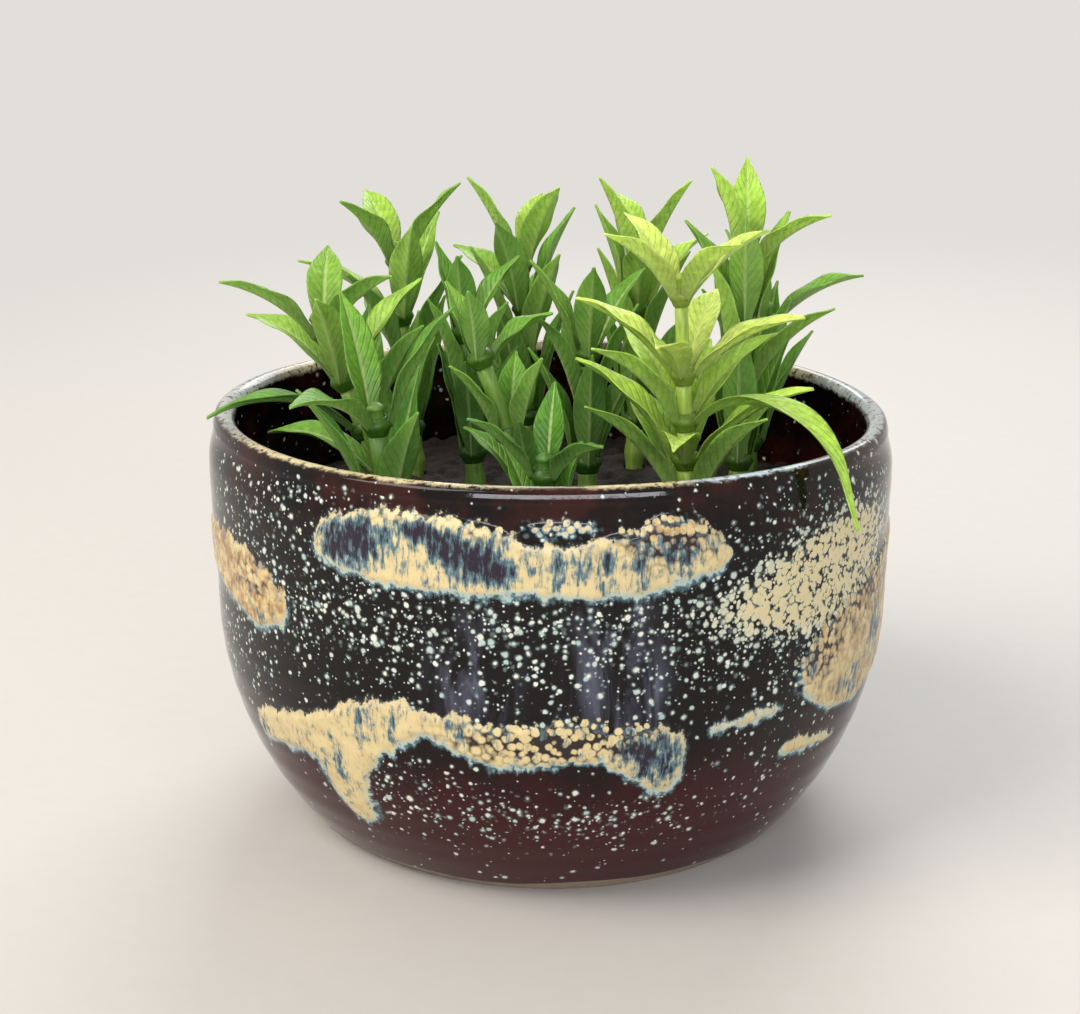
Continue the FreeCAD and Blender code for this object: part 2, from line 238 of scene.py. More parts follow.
# Splashes of thick pale glaze: outline in degrees round from the front (right is plus) and
# millimetres up, and how tan it is
glazeDaubs = {
    "upper": {
        "outline": [(-39.5, 63), (-37, 67.5), (-31, 70), (-24, 71), (-15, 70.2), (-7, 69.2), (-4.6, 67),
                    (1, 66.4), (5, 67), (9, 68.6), (12, 68), (15.5, 70.8), (20.5, 70.4), (24, 67.4),
                    (28.8, 64), (27, 61), (19, 59.4), (11, 57.4), (4, 57.2), (-3, 58.4), (-11, 57.8),
                    (-21, 58.3), (-30, 58.8), (-37, 60.2)],
        "tan": 0.15,
    },
    "upperCrumbs": {
        "outline": [(-4.5, 69.3), (-1.5, 70), (6.5, 69.6), (7, 68.6), (1, 68), (-3, 68.2)],
        "tan": 0.6,
    },
    "lower": {
        "outline": [(-60, 29), (-48, 31.2), (-37, 35), (-27, 40.4), (-17.5, 37.4), (-14.6, 38.6), (-11, 36.8),
                    (-4, 37.2), (2.4, 38.5), (9.4, 36.9), (17, 36.4), (21, 34), (21.4, 28.6), (19.4, 24),
                    (15.8, 23.6), (11, 27.4), (7, 30.6), (-1, 29.4), (-8, 29), (-14.5, 31), (-19.5, 34.2),
                    (-24, 32), (-29, 26.8), (-31.6, 22.4), (-31.6, 13.4), (-37.6, 12.6), (-41.5, 18.4),
                    (-41, 24), (-50, 24.8), (-59, 21.4)],
        "tan": 0.25,
    },
    "left": {
        "outline": [(-96, 56), (-74, 57.5), (-62, 58.8), (-51, 56.3), (-44.5, 52), (-46, 46.8),
                    (-53, 44.2), (-62, 46.5), (-78, 49), (-95, 50)],
        "tan": 1.0,
    },
    "right": {
        "outline": [(92, 58), (76, 56), (60, 52), (50, 48.4), (41.5, 43.6), (41, 37.4),
                    (50, 30.6), (61, 28.8), (74, 31), (90, 40)],
        "tan": 0.6,
    },
    "rightStreak": {
        "outline": [(25, 34.6), (31, 35.9), (38, 36), (38.5, 34), (32, 33.6), (26, 33.2)],
        "tan": 0.3,
    },
    "lowStreak": {
        "outline": [(39, 27.4), (48, 27.2), (57, 25.4), (57, 23.2), (48, 24.4), (40, 25.4)],
        "tan": 0.3,
    },
    "backHigh": {
        "outline": [(128, 62), (140, 67.5), (156, 68), (170, 65.5), (174, 60.5), (160, 57),
                    (146, 56.4), (134, 57.4)],
        "tan": 0.2,
    },
    "backLow": {
        "outline": [(-170, 36), (-156, 39.5), (-140, 37.4), (-126, 38), (-113, 34.4),
                    (-116, 27.6), (-132, 29), (-150, 27.4), (-166, 29.5)],
        "tan": 0.3,
    },
}

# Soft oval patches on the wall: degrees, millimetres up, half width and half height in millimetres,
# strength. Pools are where the thick glaze runs to blue and plum
poolPatches = [
    (-32.5, 64.5, 4.6, 4.2, 1.1), (-27, 66, 3.4, 3.2, 0.7), (-20, 68, 4.6, 1.6, 0.9),
    (-16, 65.8, 4.2, 2.2, 0.85), (-11.5, 63.3, 4.6, 2.8, 0.9), (-7.5, 62.2, 2.6, 2.8, 0.7),
    (0.6, 63.4, 2.0, 3.2, 0.85), (4.2, 63, 1.3, 3.2, 0.6), (8.2, 63.2, 1.6, 3.6, 0.75),
    (12.6, 63.4, 1.5, 3.6, 0.55), (19.5, 63.6, 3.4, 2.2, 0.7), (-8, 66.5, 9, 2.2, 0.3),
    (-22, 62, 5, 1.6, 0.3), (15, 66, 5, 3, 0.35), (16.4, 30.6, 4.6, 3.8, 1.0), (12.2, 33, 3.2, 2.4, 0.5),
    (-14.1, 34.8, 1.2, 2.4, 0.7), (-30.5, 35.6, 1.5, 3.6, 0.55), (-25, 34.6, 1.0, 3.0, 0.45),
    (-36.4, 25, 1.1, 3.8, 0.7), (-57, 24.2, 3.0, 3.0, 0.6), (58, 34.4, 3.4, 3.0, 0.6),
    (68, 41, 4.0, 4.0, 0.6), (45, 40, 2.0, 3.0, 0.45), (-52, 47, 2.0, 2.0, 0.4), (150, 62, 5.0, 3.0, 0.9),
    (163, 61, 3.4, 2.6, 0.8), (139, 64, 3.0, 2.4, 0.6), (-121, 31, 4.0, 3.4, 1.0),
    (-150, 34, 1.4, 3.2, 0.6), (-137, 33, 1.2, 2.6, 0.5),
]
# where the thick glaze has crawled into crumbs
crumbPatches = [
    (17.5, 68, 7, 4.5, 0.9), (1, 69.2, 8, 1.6, 1.0), (-27, 70.4, 13, 1.8, 0.45), (-9, 69.4, 6, 1.8, 0.5),
    (0, 34.8, 13, 4.5, 1.0), (11.5, 36.3, 5, 2, 0.9), (44, 44, 9, 7, 0.7), (60, 53, 13, 7, 0.9),
    (150, 67, 14, 3, 0.9), (-140, 35, 15, 4, 0.9), (-54, 53, 8, 5, 0.4),
]
# where it is browner
tanPatches = [(18, 68.6, 6.5, 4, 0.9), (-11.5, 63.8, 3, 1.6, 0.6), (64, 46, 10, 6, 0.5)]
speckleClouds = [
    (0, 53, 52, 8, 0.8), (-32, 49, 30, 9, 0.32), (48, 58, 17, 11, 1.4), (34, 52, 18, 11, 0.5),
    (-50, 58, 20, 9, 0.45), (-50, 66.5, 20, 4.5, 0.4), (-42, 70.6, 13, 1.6, 0.7), (-14, 20, 22, 5, 0.6),
    (8, 17, 18, 4.5, 0.5), (64, 62, 14, 8, 0.8), (0, 41, 40, 5, 0.3), (-25, 24, 14, 5, 0.4),
    (30, 26, 26, 7, 0.16), (-70, 40, 24, 9, 0.45), (100, 48, 42, 11, 0.8), (150, 46, 46, 10, 0.8),
    (-150, 50, 50, 10, 0.75), (-100, 56, 26, 9, 0.45), (-140, 18, 34, 5, 0.5), (130, 20, 34, 5, 0.45),
]
# milky streaks
hazePatches = [(-12, 44, 5, 8, 0.9), (9, 47, 5.5, 11, 1), (14, 41, 3, 6, 0.9), (-150, 47, 6, 10, 1),
               (110, 44, 6, 9, 1)]
# the most that each field comes to
mostOf = {"pool": 1.1, "crumbs": 1.0, "tan": 1.0, "speckle": 1.5, "haze": 1.0}
straySpecks = 0.05  # density away from the clouds

# Glaze on the crest of the rim: degrees, half width in degrees, cream share, blue-white share
crestGlaze = [(-36, 30, 1.0, 0.1), (13, 9, 0.9, 0.05), (33, 11, 0.15, 1.0), (-88, 26, 0.5, 0.6),
              (86, 30, 0.45, 0.7), (140, 26, 0.9, 0.2), (-150, 34, 0.9, 0.2)]


def outlineCurve(corners, rounds=3):
    # rounds off a given outline by cutting its corners
    points = np.array(corners, float)
    for _ in range(rounds):
        after = np.roll(points, -1, 0)
        points = np.stack([points * 0.75 + after * 0.25, points * 0.25 + after * 0.75], 1).reshape(-1, 2)
    return points


def outlineDepth(points, outline):
    # signed distance from each point to a closed outline, plus inside
    best = np.full(len(points), np.inf)
    inside = np.zeros(len(points), bool)
    for (ax, ay), (bx, by) in zip(outline, np.roll(outline, -1, 0)):
        dx, dy = bx - ax, by - ay
        px, py = points[:, 0] - ax, points[:, 1] - ay
        t = np.clip((px * dx + py * dy) / (dx * dx + dy * dy), 0, 1)
        best = np.minimum(best, np.hypot(px - t * dx, py - t * dy))
        if ay != by:
            crosses = (ay > points[:, 1]) != (by > points[:, 1])
            inside ^= crosses & (points[:, 0] < ax + dx * (points[:, 1] - ay) / dy)
    return np.where(inside, best, -best)


def arcRadius(height, offset=0.0):
    # radius of the belly's arc at a height, or of one drawn inside it
    s = bowlShape
    run, climb = s["bellyRadius"] - s["bellyStart"], s["bellyHeight"] - s["footHeight"]
    arc = (run ** 2 + climb ** 2) / (2 * run)
    return s["bellyRadius"] - arc + np.sqrt((arc - offset) ** 2 - (s["bellyHeight"] - height) ** 2)


def bowlProfile():
    # radius and height from the middle of the underside, up the outside, over the lip to the inside floor
    s = bowlShape
    foot, hollow, floorUp = s["footRadius"], s["footHollow"], s["floorHeight"]
    land = foot - s["footLand"]
    rows = [(0, hollow), (land * 0.5, hollow), (land - 0.9, hollow), (land - 0.25, hollow - 0.2),
            (land + 0.15, 0.35), (land + 0.6, 0.02)]
    rows += [(land + x, 0.0) for x in (1.6, 3.5, 5.4, 6.3)]
    rows += [(foot - 0.12, 0.18), (foot, 0.6), (foot + 0.1, 1.3), (foot + 0.7, 1.75), (foot + 1.7, 1.95)]
    heights = np.linspace(s["footHeight"] + 0.25, s["bellyHeight"], 96)
    rows += list(zip(arcRadius(heights), heights))
    t = np.linspace(0, 1, 54)[1:]
    rows += list(zip(s["bellyRadius"] + (s["rimRadius"] - s["bellyRadius"]) * smoothStep(0, 1, t),
                     s["bellyHeight"] + (s["flareHeight"] - s["bellyHeight"]) * t))
    t = np.linspace(0, 1, 16)[1:]
    rows += list(zip(s["rimRadius"] + (s["lipOuter"] - s["rimRadius"]) * smoothStep(0, 1, t),
                     s["flareHeight"] + (s["lipHeight"] - s["flareHeight"]) * t))
    # the lip is a half round with a slight flat on its outer shoulder, left by the potter's leather
    lip, flat = (s["lipOuter"] - s["lipInner"]) / 2, math.radians(s["shoulder"])
    turn = np.linspace(flat, math.pi, 18)
    rows += [(s["lipOuter"] - lip * (1 - math.cos(flat)) * part, s["lipHeight"] + lip * math.sin(flat) * part)
             for part in (0.35, 0.6, 0.8)]
    rows += list(zip(s["lipInner"] + lip + lip * np.cos(turn), s["lipHeight"] + lip * np.sin(turn)))
    top = len(rows) - 10  # the row on the crest
    inner = s["bellyRadius"] - s["wall"]
    heights = np.linspace(s["lipHeight"], s["bellyHeight"], 22)[1:]
    part = (heights - s["bellyHeight"]) / (s["lipHeight"] - s["bellyHeight"])
    rows += list(zip(inner + (s["lipInner"] - inner) * part, heights))
    heights = np.linspace(s["bellyHeight"], floorUp + 1.2, 26)[1:]
    rows += list(zip(arcRadius(heights, s["wall"]), heights))
    floorRadius = rows[-1][0]
    rows += [(floorRadius - 1.4, floorUp + 0.4), (floorRadius - 3.6, floorUp),
             (floorRadius * 0.5, floorUp), (0, floorUp)]
    return np.array(rows, float), top


def degreesFrom(place, deg):
    # the shorter way round from one heading to another
    return (place - deg + 180) % 360 - 180


def patchField(patches, place, radius, height):
    # adds up soft oval patches
    field = np.zeros(len(height))
    for deg, up, wide, tall, strength in patches:
        side = np.radians(degreesFrom(place, deg)) * radius / wide
        field = field + strength * np.exp(-(side ** 2 + ((height - up) / tall) ** 2))
    return field


def daubFields(flat, onWall):
    # for every point: how deep it lies in a splash, how far up in it, and how tan the splash is
    depth, rise, tan = np.full(len(flat), -9.0), np.full(len(flat), 0.5), np.zeros(len(flat))
    reach, leastTall = 9, 3
    for daub in glazeDaubs.values():
        corners = outlineCurve(daub["outline"])
        wallRadius = arcRadius(np.minimum(corners[:, 1], bowlShape["bellyHeight"]))
        corners[:, 0] = np.radians(corners[:, 0]) * wallRadius
        low, high = corners.min(0) - reach, corners.max(0) + reach
        near = onWall & (flat > low).all(1) & (flat < high).all(1)
        found = outlineDepth(flat[near], corners)
        ahead = found > depth[near]
        spots = np.flatnonzero(near)[ahead]
        depth[spots], tan[spots] = found[ahead], daub["tan"]
        columns = np.round(corners[:, 0])
        steps = np.unique(columns)
        foot = np.interp(flat[spots, 0], steps, [corners[columns == c, 1].min() for c in steps])
        head = np.interp(flat[spots, 0], steps, [corners[columns == c, 1].max() for c in steps])
        rise[spots] = np.clip((flat[spots, 1] - foot) / np.maximum(head - foot, leastTall), 0, 1)
    return depth, rise, tan


def makeBowl(material):
    s = bowlShape
    profile, top = bowlProfile()
    around, rings = s["around"], len(profile)
    angle = np.tile(np.arange(around) * fullTurn / around, rings)
    radius = np.repeat(profile[:, 0], around)
    height = np.repeat(profile[:, 1], around)
    outside = np.repeat(np.arange(rings) < top, around)
    place = degreesFrom(np.degrees(angle), -90)  # 0 at the front
    onWall = outside & (height > s["footHeight"])
    depth, rise, tan = daubFields(np.stack([np.radians(place) * np.maximum(radius, 20), height], 1), onWall)

    pool, crumbs, browner, speckle, haze = (
        np.where(outside, patchField(patches, place, radius, height), 0)
        for patches in (poolPatches, crumbPatches, tanPatches, speckleClouds, hazePatches))
    cream, blue = np.zeros(len(height)), np.zeros(len(height))
    for deg, wide, creamShare, blueShare in crestGlaze:
        here = np.exp(-(degreesFrom(place, deg) / wide) ** 4)
        cream, blue = np.maximum(cream, creamShare * here), np.maximum(blue, blueShare * here)
    along = np.concatenate([[0], np.cumsum(np.hypot(*np.diff(profile, axis=0).T))])
    line = s["glazeLine"] + 0.35 * np.sin(np.radians(5 * place)) + 0.2 * np.sin(np.radians(11 * place + 40))
    fields = {
        "daubDepth": depth, "daubRise": rise, "daubTan": np.minimum(tan + browner, mostOf["tan"]),
        "daubPool": np.minimum(pool, mostOf["pool"]), "daubCrumbs": np.minimum(crumbs, mostOf["crumbs"]),
        "speckleDensity": np.minimum(speckle + straySpecks, mostOf["speckle"]),
        "milkyHaze": np.minimum(haze, mostOf["haze"]), "crestCream": cream, "crestBlue": blue,
        "overLip": np.repeat(along - along[top], around),  # millimetres over the lip, minus outside
        "bareClay": np.where(outside, 1 - smoothStep(-0.35, 0.35, height - line), 0.0),
    }

    thrown = s["ringDepth"] * np.sin(fullTurn * height / s["ringSpacing"] + 0.6 * np.sin(angle))
    swell = s["daubHeight"] * smoothStep(0, 1.6, depth) + s["daubBead"] * np.exp(-((depth - 0.9) / 0.7) ** 2)
    out = np.where(onWall, thrown * smoothStep(3, 10, height) + swell * (1 - smoothStep(71, 74, height)), 0)
    climb, run = np.gradient(profile[:, 1]), np.gradient(profile[:, 0])
    length = np.hypot(climb, run)
    radius = radius + out * np.repeat(climb / length, around)
    height = height - out * np.repeat(run / length, around)
    lift = s["rimSlope"] * np.cos(np.radians(place + 60)) + s["rimWave"] * np.sin(np.radians(3 * place + 40))
    height = height + lift * smoothStep(35, 75, height)
    points = np.stack([radius * np.cos(angle), radius * np.sin(angle), height], 1)
    return addPiece("bowl_glazed_stoneware", points, ringFaces(rings, around), material,
                    "bowl", ["bowl"], fields)


# Reactive gloss glaze on stoneware: a near-black iron ground that breaks to maroon where it is
# thin, with thick pale splashes that run to blue and plum, and a rain of pale specks
glazeLook = {
    "ground": "#090404", "cream": "#e2cf9a", "speck": "#e9e6d2", "coolSpeck": "#a9c2bd",
    "clay": "#9d8f7c", "darkClay": "#75685a",
    # colours laid over these, with the values at which their pattern starts and is full
    "layers": {
        "thin": ("#390d0e", 0.42, 0.85), "rust": ("#40180f", 0.45, 0.62), "milky": ("#7d7f97", 0.4, 0.72),
        "tan": ("#b58750", 0.34, 0.64), "blueGrey": ("#5f8089", 0.92, 1.15), "plum": ("#2c2330", 1.08, 1.32),
        "crack": ("#33292a", -0.02, 0.16), "fringe": ("#a3cbd2", 1.3, 0.2), "skirt": ("#5f8089", -0.8, 0.0),
        "halo": ("#a9c2bd", 0.2, 0.0), "crestCream": ("#e2cf9a", 2.2, 1.3),
        "crestBlue": ("#bccbd6", 2.2, 1.3),
    },
    # noise: size in millimetres, detail, roughness, distortion
    "noises": {
        "cloud": (14.0, 5, 0.62, 0), "fine": (2.0, 5, 0.7, 0), "blotch": (2.6, 4, 0.6, 0),
        "streak": (0.8, 5, 0.65, 0.5), "wisp": (4.5, 5, 0.6, 0.8), "edge": (2.4, 6, 0.7, 0),
        "fleck": (1.3, 4, 0.7, 0), "peel": (0.9, 2, 0.5, 0),
    },
    "drawnOut": ("streak", "wisp"), "stretch": 0.24,  # these run down the wall
    # ranges of patterns: where they start and end, and what they give
    "maroonLow": {**smooth, "From Min": 44 * mm, "From Max": 12 * mm, "To Max": 0.55},
    "nearRim": {**smooth, "From Min": -15, "From Max": -3, "To Max": 0.6},
    "crowd": {"From Min": 0.9, "From Max": 1.5, "To Max": 0.26},
    "spot": {**smooth, "From Min": 0.05, "From Max": -0.04},
    "daub": {**smooth, "From Min": -0.15, "From Max": 0.35},
    "inner": {**smooth, "From Min": 0.1, "From Max": 1.2},
    "lowerEdge": {"To Min": 0.75, "To Max": 0.1},
    "solid": {**smooth, "From Min": 0.64, "From Max": 0.5},
    "bare": {**smooth, "From Min": 0.65, "From Max": 0.85},
    "gloss": {"To Min": 0.06, "To Max": 0.13},
    "thinShare": 0.6, "milkShare": 0.75, "haloShare": 0.3, "creamShare": 3.5, "bareShare": 0.5,
    "streakShare": 1.1, "blotchShare": 0.7, "poolShare": 0.38,
    "roughShares": (0.17, 0.08, 0.7), "reliefShares": (0.12, 0.25),
    "wobble": 1.1, "wobbleReach": 0.5, "crumb": 1.25, "crumbEdge": 0.46,
    "drainReach": 2.4, "drainStart": -1.5,
    "ragged": 4.6, "crawled": -4.5, "dripping": 5.0,  # millimetres that an edge strays
    # specks: cell size in millimetres, share shown, least radius and spread in cells
    "specks": [(1.3, 0.92, 0.13, 0.18), (1.9, 0.64, 0.12, 0.17), (0.75, 0.62, 0.11, 0.14)],
    "bump": (0.5, 0.25),
}


def makeGlaze():
    g = glazeLook
    material, add, shader, coord, read = startMaterial(
        "reactive gloss glaze on stoneware", {"IOR": 1.5, "Specular IOR Level": 0.26},
        ("daubDepth", "daubRise", "daubTan", "daubPool", "daubCrumbs", "speckleDensity", "milkyHaze",
         "overLip", "crestCream", "crestBlue", "bareClay"))
    runs = add("ShaderNodeMapping", {"Scale": (1, 1, g["stretch"]), "Vector": coord}, 0)
    noise = {}
    for key, (size, detail, rough, twist) in g["noises"].items():
        place = runs if key in g["drawnOut"] else coord
        noise[key] = add(noiseNode, {"Scale": perMm(size), "Detail": detail, "Roughness": rough,
                                     "Distortion": twist, "Vector": place}, "Fac")

    # ground: black above, maroon low down, rust in places under the rim, milky streaks
    height = add("ShaderNodeSeparateXYZ", {0: coord}, "Z")
    low = add(rangeNode, {**g["maroonLow"], "Value": height}, 0)
    thin = add(mathNode, {**timesPlus, 0: noise["cloud"], 1: g["thinShare"], 2: low}, 0)
    nearRim = add(rangeNode, {**g["nearRim"], "Value": read["overLip"]}, 0)
    haze = add(mathNode, {**times, 0: read["milkyHaze"], 1: g["milkShare"]}, 0)
    colour = layColours(add, g["layers"], linear(g["ground"]), [
        ("thin", thin, 1.0), ("rust", noise["cloud"], nearRim), ("milky", noise["wisp"], haze)])

    # specks: uneven round spots with a cool rim, which grow together where they are dense
    wobble = add(noiseNode, {"Scale": perMm(g["wobble"]), "Detail": 1, "Vector": coord}, "Color")
    stray = (g["wobbleReach"] * mm,) * 3
    uneven = add("ShaderNodeVectorMath", {**timesPlus, 0: wobble, 1: stray, 2: coord}, 0)
    density = read["speckleDensity"]
    crowd = add(rangeNode, {**g["crowd"], "Value": density}, 0)
    creamy = add(mathNode, {**times, 0: crowd, 1: g["creamShare"]}, 0)
    specks = 0.0
    for size, shownShare, least, spread in g["specks"]:
        cells = add(cellNode, {"Scale": perMm(size), "Vector": uneven}).outputs
        chance = add("ShaderNodeSeparateColor", {0: cells["Color"]}).outputs
        limit = add(mathNode, {**times, 0: density, 1: shownShare}, 0)
        shown = add(mathNode, {"operation": "LESS_THAN", 0: chance[0], 1: limit}, 0)
        spotRadius = add(mathNode, {**timesPlus, 0: chance[1], 1: spread, 2: least}, 0)
        spotRadius = add(mathNode, {**plus, 0: spotRadius, 1: crowd}, 0)
        past = add(mathNode, {**minus, 0: cells["Distance"], 1: spotRadius}, 0)
        halo = add(mathNode, {**times, 0: shown, 1: g["haloShare"]}, 0)
        colour = layColours(add, g["layers"], colour, [("halo", past, halo)])
        spot = add(rangeNode, {**g["spot"], "Value": past}, 0)
        spot = add(mathNode, {**times, 0: spot, 1: shown}, 0)
        pale = add(mixNode, {**colours, 0: chance[2], 6: linear(g["speck"]), 7: linear(g["coolSpeck"])}, 2)
        pale = add(mixNode, {**colours, 0: creamy, 6: pale, 7: linear(g["cream"])}, 2)
        colour = add(mixNode, {**colours, 0: spot, 6: colour, 7: pale}, 2)
        specks = add(mathNode, {**larger, 0: specks, 1: spot}, 0)

    # thick splashes: edge ragged or crawled into crumbs, cream body, streaky pools, cool lower fringe
    lumps = add(cellNode, {"Scale": perMm(g["crumb"]), "Vector": uneven}, "Distance")
    between = add(mathNode, {**minus, 0: lumps, 1: g["crumbEdge"]}, 0)
    between = add(mathNode, {**times, 0: between, 1: read["daubCrumbs"]}, 0)
    inward = -(g["ragged"] + g["dripping"]) / 2  # both noises average a half
    edge = add(mathNode, {**plus, 0: read["daubDepth"], 1: inward}, 0)
    for pattern, reach in ((noise["edge"], "ragged"), (between, "crawled"), (noise["wisp"], "dripping")):
        edge = add(mathNode, {**timesPlus, 0: pattern, 1: g[reach], 2: edge}, 0)
    daub = add(rangeNode, {**g["daub"], "Value": edge}, 0)
    inner = add(rangeNode, {**g["inner"], "Value": edge}, 0)
    mixed = add(mathNode, {**times, 0: noise["streak"], 1: g["streakShare"]}, 0)
    mixed = add(mathNode, {**timesPlus, 0: noise["blotch"], 1: g["blotchShare"], 2: mixed}, 0)
    broken = add(mathNode, {**timesPlus, 0: read["daubPool"], 1: g["poolShare"], 2: mixed}, 0)
    lowerEdge = add(rangeNode, {**g["lowerEdge"], "Value": read["daubRise"]}, 0)
    body = layColours(add, g["layers"], linear(g["cream"]), [
        ("tan", noise["blotch"], read["daubTan"]), ("blueGrey", broken, inner), ("plum", broken, inner),
        ("crack", between, 1.0), ("fringe", edge, lowerEdge)])
    colour = layColours(add, g["layers"], colour, [("skirt", edge, lowerEdge)])
    colour = add(mixNode, {**colours, 0: daub, 6: colour, 7: body}, 2)

    # crest of the rim, where glaze drains off and turns pale
    drained = add(mathNode, {**timesPlus, 0: noise["fine"], 1: g["drainReach"], 2: g["drainStart"]}, 0)
    drained = add(mathNode, {**plus, 0: drained, 1: read["overLip"]}, 0)
    drained = add(mathNode, {"operation": "ABSOLUTE", 0: drained}, 0)
    solid = add(rangeNode, {**g["solid"], "Value": noise["fleck"]}, 0)
    for crest in ("crestCream", "crestBlue"):
        share = add(mathNode, {**times, 0: solid, 1: read[crest]}, 0)
        colour = layColours(add, g["layers"], colour, [(crest, drained, share)])

    # bare clay under the glaze line
    clay = add(mathNode, {**timesPlus, 0: noise["fine"], 1: g["bareShare"], 2: read["bareClay"]}, 0)
    clay = add(rangeNode, {**g["bare"], "Value": clay}, 0)
    buff = add(mixNode, {**colours, 0: noise["fine"], 6: linear(g["clay"]), 7: linear(g["darkClay"])}, 2)
    colour = add(mixNode, {**colours, 0: clay, 6: colour, 7: buff}, 2)

    rough = add(rangeNode, {**g["gloss"], "Value": noise["cloud"]}, 0)
    for share, more in zip((daub, specks, clay), g["roughShares"]):
        rough = add(mathNode, {**timesPlus, 0: share, 1: more, 2: rough}, 0)
    relief = add(mathNode, {**times, 0: daub, 1: mixed}, 0)
    for share, more in zip((noise["peel"], specks), g["reliefShares"]):
        relief = add(mathNode, {**timesPlus, 0: share, 1: more, 2: relief}, 0)
    finishMaterial(add, shader, colour, rough, relief, g["bump"])
    return material


bowl = makeBowl(makeGlaze())
print("bowl made:", len(bowl.data.vertices), "points")

# Where each sprig stands, how it leans and where its whorls sit: millimetres and degrees

bedShape = {
    "insideRadius": 55.7, "foamRadius": 55.3, "foamTop": 50.0, "toppingTop": 56.0, "floorHeight": 6.0,
    "foamGap": 0.4, "pegRadius": 1.7, "pegFoot": 26.0, "pegGap": 0.05, "toppingGap": 0.4,
    "kneeHeight": 57.6, "kneeSwell": 0.3, "seatStep": 0.15, "stemTip": 1.2, "tallestSeat": 44.0,
    "stemSides": 24,
}
leafShape = {
    "length": 27.0, "width": 6.6, "rib": 0.8, "collarWall": 1.3, "collarHeight": 3.2, "collarGap": 0.05,
    "roomGap": 0.35, "rimGap": 0.8, "hangGap": 1.2, "stalk": 0.30, "widest": 0.5, "taper": 1.1,
    "stalkTaper": 4, "tip": 0.45, "highLeaf": 0.66, "trailingWidth": 0.85, "fold": 20.0,
    "lowRise": 36.0, "highRise": 58.0, "lowCurl": 62.0, "highCurl": 36.0, "trailingRise": 48.0,
    "headingSway": 6.0, "riseSway": 5.0, "swayTurn": 137.5, "along": 38, "across": 15,
    "thickEdge": 0.22, "ribWidth": 0.7, "groove": 0.22, "grooveWidth": 0.4, "thinning": 0.55,
    "wave": 0.3, "waves": 2.1, "twist": 14.0, "veins": 11.0, "veinSlant": 2.6, "veinDepth": 0.05,
    "inCollar": 0.25,
}
# at: right and back as shares of the inside radius; room: share of a leaf taken from neighbours;
# first: heading of the first leaf; seats: collars as shares of the tallest; size: of the leaves;
# tone: from deep to bright green
sprigPlan = {
    "front_right": {"at": (0.42, -0.46), "room": 0.80, "first": 30, "lean": (3, 180), "leaves": 4,
                    "seats": (0.10, 0.27, 0.42, 0.60, 0.90), "size": 1, "tone": 1.0},
    "front_centre": {"at": (-0.02, -0.74), "room": 0.40, "first": 12, "lean": (4, 270), "leaves": 3,
                     "seats": (0.07, 0.31), "size": 0.62, "tone": 0.5},
    "front_left": {"at": (-0.48, -0.60), "room": 0.42, "first": 60, "lean": (6, 225), "leaves": 3,
                   "seats": (0.07, 0.46), "size": 1, "tone": 0.56},
    "centre_left": {"at": (-0.02, -0.36), "room": 0.40, "first": 20, "lean": (20, 180), "leaves": 3,
                    "seats": (0.09, 0.36, 0.68), "size": 0.66, "tone": 0.66},
    "left": {"at": (-0.49, -0.12), "room": 0.56, "first": 25, "lean": (22, 180), "leaves": 3,
             "seats": (0.09, 0.31, 0.52, 0.73), "size": 1, "tone": 0.72},
    "centre": {"at": (0.12, 0.02), "room": 0.44, "first": 40, "lean": (3, 90), "leaves": 3,
               "seats": (0.09, 0.33, 0.54), "size": 0.88, "tone": 0.6},
    "right": {"at": (0.61, 0.0), "room": 0.40, "first": 25, "lean": (3, 60), "leaves": 3,
              "seats": (0.11, 0.44, 0.68, 0.93), "size": 1, "tone": 0.78},
    "back_left": {"at": (-0.47, 0.45), "room": 0.50, "first": 50, "lean": (5, 150), "leaves": 3,
                  "seats": (0.11, 0.40, 0.60, 0.84), "size": 1, "tone": 0.74},
    "back_centre": {"at": (-0.08, 0.62), "room": 0.50, "first": 10, "lean": (4, 110), "leaves": 3,
                    "seats": (0.11, 0.39, 0.59, 0.79), "size": 1, "tone": 0.74},
    "back_right": {"at": (0.30, 0.56), "room": 0.46, "first": 35, "lean": (3, 80), "leaves": 3,
                   "seats": (0.11, 0.40, 0.60, 0.80), "size": 1, "tone": 0.84},
    "far_right": {"at": (0.68, 0.38), "room": 0.46, "first": 0, "lean": (6, 20), "leaves": 3,
                  "seats": (0.07, 0.29, 0.60), "size": 0.9, "tone": 0.62},
    "centre_back": {"at": (-0.25, 0.16), "room": 0.36, "first": 30, "lean": (4, 160), "leaves": 3,
                    "seats": (0.09, 0.36, 0.60), "size": 0.8, "tone": 0.6},
}
# long leaves over the rim: whorl, heading, how steeply they hang, free end as a share of a leaf
trailing = {"front_right": (2, -39.0, 68.0, 0.3), "left": (1, 208.0, 0.0, 0.0)}
upward = np.array([0.0, 0.0, 1.0])


def toward(heading):
    turn = math.radians(heading)
    return np.array([math.cos(turn), math.sin(turn), 0.0])


def basePoint(name):
    right, back = sprigPlan[name]["at"]
    inside = bedShape["insideRadius"]
    return np.array([right * inside, back * inside, bedShape["kneeHeight"]])


def stemAxis(name):
    lean, heading = sprigPlan[name]["lean"]
    return toward(heading) * math.sin(math.radians(lean)) + upward * math.cos(math.radians(lean))


def seatsOf(name):
    return [bedShape["tallestSeat"] * share for share in sprigPlan[name]["seats"]]


def crownOf(name):
    # the middle of a sprig seen from above
    seats = seatsOf(name)
    point = basePoint(name) + stemAxis(name) * (seats[0] + seats[-1]) / 2
    return np.array([point[0], point[1], 0])


